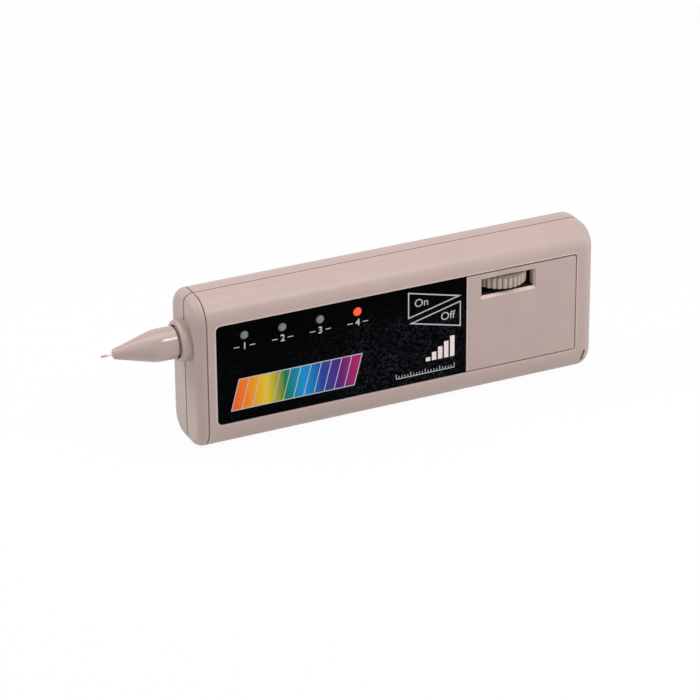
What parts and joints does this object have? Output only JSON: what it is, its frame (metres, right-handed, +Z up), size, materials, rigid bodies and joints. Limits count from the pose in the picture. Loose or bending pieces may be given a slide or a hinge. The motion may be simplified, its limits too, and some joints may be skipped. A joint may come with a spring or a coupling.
{
  "type": "diamond tester",
  "caption": "Hand-held gemstone thermal tester: slim two-shell case, sprung probe with a cone nose and needle, lamp row on a sunk label, edge thumbwheel switch, rear battery door.",
  "frame": {"origin": "on the long lower edge of the case, midway along its length and depth", "axes": "+X along the case away from the probe, +Y from the printed front to the back, +Z up the width of the face"},
  "size_m": [0.1708, 0.0235, 0.052],
  "materials": {
    "case_plastic": "satin moulded, beige",
    "label_print": "printed film, satin",
    "lamp_unlit": "moulded, tinted",
    "lamp_lit": "moulded, tinted, lit",
    "black_plastic": "moulded, black",
    "wheel_plastic": "moulded, beige",
    "white_plastic": "moulded, white",
    "potentiometer_body": "moulded, dark brown",
    "steel": "zinc plated",
    "stem_metal": "turned",
    "needle_metal": "bare copper, tip darkened",
    "heater_ceramic": "glazed",
    "bead_glass": "glass coated",
    "board_laminate": "solder mask, green",
    "capacitor_can": "sleeved",
    "resistor_body": "lacquered",
    "trimmer_body": "moulded, blue",
    "battery_case": "lacquered sleeve",
    "red_insulation": "smooth",
    "black_insulation": "smooth",
    "white_insulation": "smooth",
    "foam": "open-celled"
  },
  "bodies": {
    "case": {"front_shell": "case_plastic", "rear_shell": "case_plastic", "control_cover": "case_plastic", "probe_collar": "case_plastic", "front_label": "label_print", "status_lamp_1": "lamp_unlit", "status_lamp_2": "lamp_unlit", "status_lamp_3": "lamp_unlit", "status_lamp_4": "lamp_lit", "lamp_spacers": "black_plastic", "measuring_chip": "black_plastic", "comparator_chip": "black_plastic", "voltage_regulator": "black_plastic", "sounder": "black_plastic", "battery_snap": "black_plastic", "spring_seat": "black_plastic", "probe_plug": "white_plastic", "wheel_potentiometer": "potentiometer_body", "probe_spring": "steel", "case_screws": "steel", "board_screws": "steel", "battery_terminals": "steel", "main_circuit_board": "board_laminate", "smoothing_capacitors": "capacitor_can", "resistors": "resistor_body", "calibration_trimmers": "trimmer_body", "battery": "battery_case", "battery_lead_red": "red_insulation", "probe_lead_red": "red_insulation", "battery_lead_black": "black_insulation", "probe_lead_white": "white_insulation"},
    "probe": {"nose_cone": "case_plastic", "probe_stem": "stem_metal", "probe_needle": "needle_metal", "needle_sleeve": "white_plastic", "probe_heater": "heater_ceramic", "thermistor_bead": "bead_glass", "retaining_clip": "steel"},
    "wheel": {"thumbwheel": "wheel_plastic", "wheel_spindle": "white_plastic", "wheel_screw": "steel"},
    "door": {"battery_door": "case_plastic", "battery_pad": "foam"}
  },
  "joints": [
    {"name": "probe_press", "type": "slide", "parent": "case", "child": "probe", "axis": [1, 0, 0], "range_m": [0, 0.0012], "stiffness_N_per_m": 600, "springref_m": -0.002, "deforming": ["probe_spring"]},
    {"name": "wheel_turn", "type": "hinge", "parent": "case", "child": "wheel", "pos_m": [0.03915, -0.0033, 0.0367], "axis": [0, 0, 1], "range_deg": [0, 300]},
    {"name": "door_swing", "type": "hinge", "parent": "case", "child": "door", "pos_m": [0.00895, 0.011, 0.0076], "axis": [0, 0, 1], "range_deg": [0, 60]}
  ]
}
